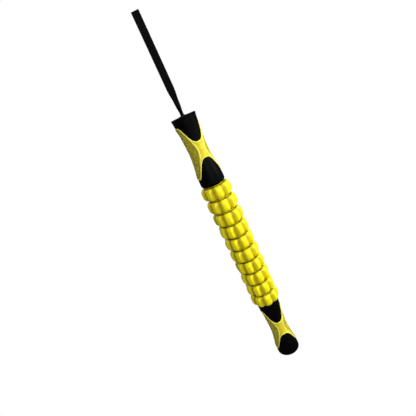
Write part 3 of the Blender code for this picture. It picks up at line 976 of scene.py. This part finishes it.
def bore_corners(end_z, sign):
    """Stepped bore of a handle, from its closed-off outer end inwards."""
    return [
        (REBATE_RADIUS, end_z, 0.25 * MM),
        (REBATE_RADIUS, end_z + sign * (CAP_THICKNESS + GAP), 0.1 * MM),
        (CAVITY_RADIUS, end_z + sign * (CAP_THICKNESS + GAP), 0.25 * MM),
        (CAVITY_RADIUS, end_z + sign * CAVITY_DEPTH, 0.8 * MM),
        (SCREW_RADIUS + 2 * GAP, end_z + sign * CAVITY_DEPTH, 0.2 * MM),
        (SCREW_RADIUS + 2 * GAP, end_z + sign * (CAVITY_DEPTH + WEB_THICKNESS), 0.2 * MM),
        (TUBE_RADIUS + GAP, end_z + sign * (CAVITY_DEPTH + WEB_THICKNESS), 0.2 * MM),
        (TUBE_RADIUS + GAP, end_z + sign * HANDLE_LENGTH, 0.4 * MM),
    ]


def build_handle(side, first_z, outer_is_flared):
    """One handle's core and soft grip; first_z is its flared end, which is the outer one or the inner one."""
    turn = HANDLE_TURNS[side]
    last_z = first_z - HANDLE_LENGTH
    bore = bore_corners(first_z, -1)[::-1] if outer_is_flared else bore_corners(last_z, 1)
    inset = handle_radius(HANDLE_LENGTH) - BOTTOM_EDGE
    rounded = [(inset + BOTTOM_EDGE * math.cos(bend), last_z + BOTTOM_EDGE * (1 - math.sin(bend)))
               for bend in (math.radians(9 * k) for k in range(11))]
    top_corner = [(handle_radius(0), first_z, TOP_EDGE)]
    ends = rounded + filleted([(inset, last_z, 0)] + bore + top_corner)[1:]
    floor = GRIP_SUNK + GAP

    def core_outline(angle):
        (start, start_lean), (end, end_lean) = grip_edges(angle - turn)
        start -= GRIP_SEAM * start_lean
        end += GRIP_SEAM * end_lean
        rows = [(mix(TOP_EDGE + 0.2 * MM, start - 0.25 * MM, k / 15), 0) for k in range(16)]
        rows += [(start - 0.08 * MM, 0.04 * MM), (start, 0.2 * MM), (start, floor)]
        rows += [(mix(start, end, k / 7), floor) for k in range(1, 7)]
        rows += [(end, floor), (end, 0.2 * MM), (end + 0.08 * MM, 0.04 * MM)]
        last = HANDLE_LENGTH - BOTTOM_EDGE - 0.1 * MM
        rows += [(mix(end + 0.25 * MM, last, k / 9), 0) for k in range(10)]
        return [(handle_radius(along) - sunk, first_z - along) for along, sunk in rows] + ends

    mesh = round_skin(side + "_handle_moulding", core_outline, GRIP_STEPS)
    piece(side + "_handle_moulding", mesh, NYLON, "stick", side + "_handle_core")

    def grip_outline(angle):
        (start, start_lean), (end, end_lean) = grip_edges(angle - turn)
        first = [start + inset * MM * start_lean for inset in EDGE_ROWS]
        last = [end - inset * MM * end_lean for inset in reversed(EDGE_ROWS)]
        middle = [mix(first[-1], last[0], k / (MIDDLE_ROWS + 1)) for k in range(1, MIDDLE_ROWS + 1)]
        outer = [(handle_radius(along) + grip_height(angle - turn, along), first_z - along)
                 for along in first + middle + last]
        inner = [(handle_radius(along) - GRIP_SUNK, first_z - along)
                 for along in (mix(end, start, k / 9) for k in range(10))]
        return outer + inner

    mesh = round_skin(side + "_grip_moulding", grip_outline, GRIP_STEPS)
    # the hollow attribute masks the painted shade in the sunk side panels
    mark(mesh, "hollow", lambda place: panel_share(angle_of(place) - turn, first_z - place.z))
    # the raised attribute masks the painted highlight on the lip's crest
    mark(mesh, "raised", lambda place: lip_share(angle_of(place) - turn, first_z - place.z))
    piece(side + "_grip_moulding", mesh, SOFT, "stick", side + "_grip", crisp=GRIP_CREASE)
    build_studs(side, first_z, turn)


def build_studs(side, first_z, turn):
    """The side panels' texture: a lattice of fine studs and three columns of larger round dots."""
    dots = []
    for panel in (math.pi / 2, -math.pi / 2):
        for column in (-1, 0, 1):
            for row in range(6 if column == 0 else 5):
                along = DOT_START + DOT_PITCH * (row - (0.5 if column == 0 else 0))
                dots.append((panel + column * DOT_ANGLE, along))
    studs = []
    for panel in (math.pi / 2, -math.pi / 2):
        for row in range(int((LOWER_SIDE - UPPER_SIDE) / STUD_PITCH * 2)):
            along = UPPER_SIDE + row * STUD_PITCH / 2
            angle_step = STUD_PITCH / WAIST_RADIUS
            for column in range(-14, 15):
                angle = panel + (column + 0.5 * (row % 2)) * angle_step
                clear = min(math.hypot((angle - a) * WAIST_RADIUS, along - b) for a, b in dots)
                on_side = abs(angle - panel) < math.pi / 2
                on_panel = on_side and grip_place(angle, along)[1] > STUD_CLEAR
                if on_panel and clear > DOT_RADIUS + STUD_RADIUS:
                    studs.append((angle, along))
    kinds = (("studs", studs, STUD_RADIUS, STUD_HEIGHT, 8, 6, STUD_SHADE),
             ("dots", dots, DOT_RADIUS, DOT_HEIGHT, 20, 12, DOT_SHADE))
    for kind, places, radius, height, sides, rings, shade in kinds:
        points, outwards = [], []
        for angle, along in places:
            slope = (handle_radius(along + MM) - handle_radius(along - MM)) / (2 * MM)
            r = handle_radius(along) + grip_height(angle, along) - 0.02 * MM
            facing = Vector((math.sin(angle + turn), -math.cos(angle + turn), slope)).normalized()
            points.append((r * math.sin(angle + turn), -r * math.cos(angle + turn), first_z - along))
            outwards.append(facing)
        mesh = bpy.data.meshes.new("places")
        mesh.from_pydata(points, [], [])
        facing = mesh.attributes.new("outwards", "FLOAT_VECTOR", "POINT")
        facing.data.foreach_set("vector", [number for vector in outwards for number in vector])
        made = run_tree(mesh, STUDS_TREE, {"Radius": radius, "Height": height, "Sides": sides,
                                           "Rings": rings, "Finish": SOFT})
        # the studs and dots take part of the panels' painted shade
        mark(made, "hollow", lambda place: shade)
        piece(f"{side}_grip_{kind}", made, SOFT, "stick")


def build_end_fittings(side, end_z, sign, cap_bore):
    """Cap, screw, washer and tube plug of one handle; sign is the way into the handle along Z."""

    def shell(name, corners, steps=HIDDEN_STEPS):
        """Turns (radius, depth inside the handle, fillet) about the axis, running down the outer side."""
        outline = [(radius, end_z + sign * depth, fillet) for radius, depth, fillet in corners]
        return turned(f"{side}_{name}", outline if sign < 0 else outline[::-1], steps)

    def fit(name, node, mesh, finish):
        piece(f"{side}_{name}", mesh, finish, "stick", f"{side}_{node}")

    disc = REBATE_RADIUS - GAP
    skirt = CAVITY_RADIUS - GAP
    skirt_end = CAP_THICKNESS + CAP_SKIRT
    line_start, line_end = CAP_LINE
    corners = [
        (line_start, 0, 0.15 * MM), (line_start + 0.2 * MM, CAP_LINE_DEPTH, 0.15 * MM),
        (line_end - 0.2 * MM, CAP_LINE_DEPTH, 0.15 * MM), (line_end, 0, 0.15 * MM),
        (disc, 0, TOP_EDGE), (disc, CAP_THICKNESS, 0.2 * MM),
        (skirt, CAP_THICKNESS, 0.2 * MM), (skirt, skirt_end, 0.4 * MM),
        (skirt - CAP_SKIRT_WALL, skirt_end, 0.4 * MM), (skirt - CAP_SKIRT_WALL, CAP_THICKNESS, 0.4 * MM),
    ]
    if cap_bore:
        corners += [(cap_bore, CAP_THICKNESS, 0.2 * MM), (cap_bore, 0, 0.2 * MM)]
    else:
        corners += [(0, CAP_THICKNESS, 0), (0, GATE_DEPTH, 0), (GATE_RADIUS, GATE_DEPTH, 0.1 * MM),
                    (GATE_RADIUS + 0.2 * MM, 0, 0.1 * MM)]
    fit("cap_moulding", "end_cap", shell("cap_moulding", corners, ROUND_STEPS), NYLON)

    washer_end = CAVITY_DEPTH - GAP
    washer_top = washer_end - WASHER_THICKNESS
    hole = SCREW_RADIUS + GAP
    corners = [(WASHER_RADIUS, washer_top, 0.15 * MM), (WASHER_RADIUS, washer_end, 0.15 * MM),
               (hole, washer_end, 0.1 * MM), (hole, washer_top, 0.1 * MM)]
    fit("washer_plated", "screw_washer", shell("washer_plated", corners), STEEL)

    head_end = washer_top - GAP
    head_top = head_end - HEAD_HEIGHT
    root = SCREW_RADIUS - THREAD_DEPTH
    corners = [(0, head_top + SOCKET_DEPTH, 0), (SOCKET_RADIUS, head_top + SOCKET_DEPTH, 0.1 * MM),
               (SOCKET_RADIUS + 0.2 * MM, head_top, 0.1 * MM), (HEAD_RADIUS, head_top, 1.2 * MM),
               (HEAD_RADIUS, head_end, 0.2 * MM), (root, head_end, 0.2 * MM),
               (root, head_end + SCREW_LENGTH, 0.5 * MM), (0, head_end + SCREW_LENGTH, 0)]
    threaded = SCREW_LENGTH - 2 * MM
    first = end_z + sign * (head_end + 1 * MM)
    values = {"Radius": root, "Length": threaded, "Turns": float(THREAD_TURNS),
              "Start": min(first, first + sign * threaded), "Depth": THREAD_DEPTH, "Finish": STEEL}
    screw = run_tree(shell("screw_threaded", corners), THREAD_TREE, values)
    fit("screw_threaded", "handle_screw", screw, STEEL)

    plug_start = CAVITY_DEPTH + WEB_THICKNESS + GAP
    plug_end = plug_start + PLUG_LENGTH
    radius = TUBE_RADIUS - TUBE_WALL - GAP
    corners = [(radius, plug_start, 0.4 * MM), (radius, plug_end, 0.4 * MM),
               (hole, plug_end, 0.3 * MM), (hole, plug_start, 0.3 * MM)]
    fit("plug_turned", "tube_plug", shell("plug_turned", corners), STEEL)


# ---------------------------------------------------------------- core, rings

def build_core():
    """The steel tube and the sleeve round it."""
    pipes = (
        ("tube_drawn", "core_tube", TUBE_RADIUS, TUBE_RADIUS - TUBE_WALL, STEEL, "steel"),
        ("sleeve_moulding", "roller_sleeve", SLEEVE_RADIUS, TUBE_RADIUS + GAP, GREY, "grey_plastic"),
    )
    for name, node, outer, inner, finish, slot in pipes:
        corners = [(outer, top_of(node), 0.25 * MM), (outer, foot_of(node), 0.25 * MM),
                   (inner, foot_of(node), 0.25 * MM), (inner, top_of(node), 0.25 * MM)]
        piece(name, turned(name, corners, HIDDEN_STEPS), finish, "stick", node)


def off_groove(angle):
    """Angle from the bottom of the nearest groove."""
    return min(angle % LOBE_PITCH, LOBE_PITCH - angle % LOBE_PITCH)


def raw_ring_radius(angle, height):
    """Radius of a ring's outside at an angle from the bottom of a groove: rounded lobe, steep flank."""
    off = off_groove(angle)
    share = abs(height) / LOBE_HALF
    ridge = RING_RADIUS - (RING_RADIUS - LOBE_END_RADIUS) * share ** LOBE_POWER
    depth = mix(GROOVE_DEPTH, GROOVE_END_DEPTH, share ** 2)
    flank = mix(FLANK, FLANK_AT_END, share ** 2)
    across = min((LOBE_PITCH / 2 - off) / (LOBE_PITCH / 2 - flank), 1)
    face = ridge * (1 - LOBE_CROWN * across ** 2)
    return face - depth * (1 - min(off / flank, 1) ** FLANK_POWER)


def groove_shade_share(place):
    """1 at the bottom of a groove, 0 on a lobe's face: the mask of the painted shade in the grooves."""
    flank = mix(FLANK, FLANK_AT_END, min(abs(place.z) / LOBE_HALF, 1) ** 2)
    return 1 - smooth_step(off_groove(angle_of(place)) / flank)


def gap_shadow_share(place):
    """1 on the hub and a lobe's end faces, where painted shadow falls between two rings; 0 on a lobe's face.
    """
    inwards = smooth_step((LOBE_END_RADIUS - math.hypot(place.x, place.y)) / GAP_SHADOW_FADE)
    return inwards * (GAP_SHADOW_FROM < abs(place.z) < GAP_SHADOW_TO)


def ring_radius(angle, height):
    """The same outside with its ridges and groove bottoms rounded over."""
    steps = (-1, -0.5, 0, 0.5, 1)
    return sum(raw_ring_radius(angle + RIDGE_ROUND * step, height) for step in steps) / len(steps)


def sector_columns():
    """Angles of a sector's outlines, from groove to groove, close together in the grooves."""
    middle = LOBE_PITCH / 2
    half = [mix(0, FLANK_AT_END, (k / 13) ** 1.2) for k in range(14)]
    half += [mix(half[-1], middle, t) for t in (0.25, 0.5, 0.75)]
    return half + [middle] + [LOBE_PITCH - angle for angle in reversed(half)]


def ring_outline(angle):
    """Outline of the ring at an angle from a groove: barrel-shaped lobe, flat-cut lobe ends, hub, bore."""
    rows = []
    for k in range(LOBE_ROWS + 1):
        height = LOBE_HALF * math.cos(math.pi * k / LOBE_ROWS)
        rows.append((ring_radius(angle, height), height))
    end_radius = rows[-1][0]
    rim = 0.35 * MM * (end_radius - RING_HUB) / (LOBE_END_RADIUS - RING_HUB)
    shoulder = LOBE_HALF + HUB_LIP
    line_start, line_end = HUB_LINE
    line_floor = -RING_HALF + HUB_LINE_DEPTH
    foot = filleted([(end_radius, -LOBE_HALF, 0), (end_radius - rim, -LOBE_HALF - 0.12 * MM, 0),
                     (RING_HUB, -shoulder, 0.4 * MM), (RING_HUB, -RING_HALF, 0.3 * MM),
                     (line_end, -RING_HALF, 0.1 * MM), (line_end - 0.2 * MM, line_floor, 0.1 * MM),
                     (line_start + 0.2 * MM, line_floor, 0.1 * MM), (line_start, -RING_HALF, 0.1 * MM),
                     (RING_BORE, -RING_HALF, 0.4 * MM), (RING_BORE, 0, 0)])[1:]
    head = [(radius, -height) for radius, height in reversed(foot[:-1])]
    return rows + foot + head


def build_rings():
    """Every ring from one sector, each turned as it last stopped."""
    sector = skin("ring_sector", [(angle, ring_outline(angle)) for angle in sector_columns()], wrap=False)
    # the groove attribute masks the painted shade in the grooves
    mark(sector, "groove", groove_shade_share)
    # this attribute masks the painted shadow where two rings meet
    mark(sector, "gap_shadow", gap_shadow_share)
    for i, node in enumerate(RING_NODES):
        centre = (top_of(node) + foot_of(node)) / 2
        made = run_tree(sector.copy(), LOBES_TREE, {"Lobes": LOBES, "Turn": math.radians(RING_TURNS[i]),
                                                    "Height": centre, "Weld": 5 * WELD, "Finish": LEMON})
        body = f"ring_{i + 1:02d}"
        piece(body + "_lobed", made, LEMON, body, node, crisp=RING_CREASE)


# ---------------------------------------------------------------- object

strap, strap_line = build_strap()
knot = build_knot()
build_grommet()
build_handle("upper", TOP_Z, True)
build_end_fittings("upper", TOP_Z, -1, GROMMET_BARREL + GAP)
build_core()
build_rings()
build_handle("lower", LOWER_INNER_Z, False)
build_end_fittings("lower", BOTTOM_Z, 1, 0)


# ---------------------------------------------------------------- floor, light, camera

def seen_white(tree, target):
    """An even white to the camera that lights the object only a little."""
    ray = add(tree, "ShaderNodeLightPath").outputs["Is Camera Ray"]
    tree.links.new(mix_value(tree, ray, SURROUND, 1.0), target)


def build_stage():
    """White surroundings and a pale floor well below the hanging stick."""
    world = bpy.data.worlds.new("studio")
    bpy.context.scene.world = world
    world.use_nodes = True
    sky = world.node_tree.nodes["Background"]
    sky.inputs["Color"].default_value = rgb(1, 1, 1)
    seen_white(world.node_tree, sky.inputs["Strength"])

    disc = bmesh.new()
    bmesh.ops.create_circle(disc, cap_ends=True, segments=64, radius=FLOOR_RADIUS)
    floor = in_scene("floor", to_mesh("floor", disc))
    floor.location.z = BOTTOM_Z - FLOOR_DROP
    paper = bpy.data.materials.new("white_paper_floor")
    paper.use_nodes = True
    tree = paper.node_tree
    tree.nodes.remove(tree.nodes["Principled BSDF"])
    glow = add(tree, "ShaderNodeEmission", {"Color": rgb(1, 1, 1)})
    seen_white(tree, glow.inputs["Strength"])
    tree.links.new(glow.outputs[0], tree.nodes["Material Output"].inputs["Surface"])
    floor.data.materials.append(paper)


def soft_box(name, place, aim, size, watts):
    """A round soft light that faces the point aimed at."""
    lamp = bpy.data.lights.new(name, "AREA")
    lamp.shape = "DISK"
    lamp.size = size
    lamp.energy = watts
    holder = in_scene(name, lamp)
    holder.location = place
    holder.rotation_mode = "QUATERNION"
    holder.rotation_quaternion = (Vector(place) - Vector(aim)).to_track_quat("Z", "Y")


def build_camera():
    lens = bpy.data.cameras.new("camera")
    lens.sensor_width = SENSOR
    lens.lens = LENS
    lens.clip_start = 0.01
    camera = in_scene("camera", lens)
    yaw, tilt, roll = (math.radians(angle) for angle in CAMERA_ANGLES)
    turn = (Matrix.Rotation(yaw, 4, "Z") @ Matrix.Rotation(math.pi / 2 - tilt, 4, "X")
            @ Matrix.Rotation(roll, 4, "Z"))
    camera.matrix_world = Matrix.Translation(CAMERA_PLACE) @ turn
    bpy.context.scene.camera = camera


build_stage()
middle = (0, 0, (TOP_Z + BOTTOM_Z) / 2)
for lamp_name, lamp_place, lamp_size, lamp_watts in LAMPS:
    soft_box(lamp_name, lamp_place, middle, lamp_size, lamp_watts)
build_camera()
bpy.context.scene.view_settings.view_transform = "Standard"
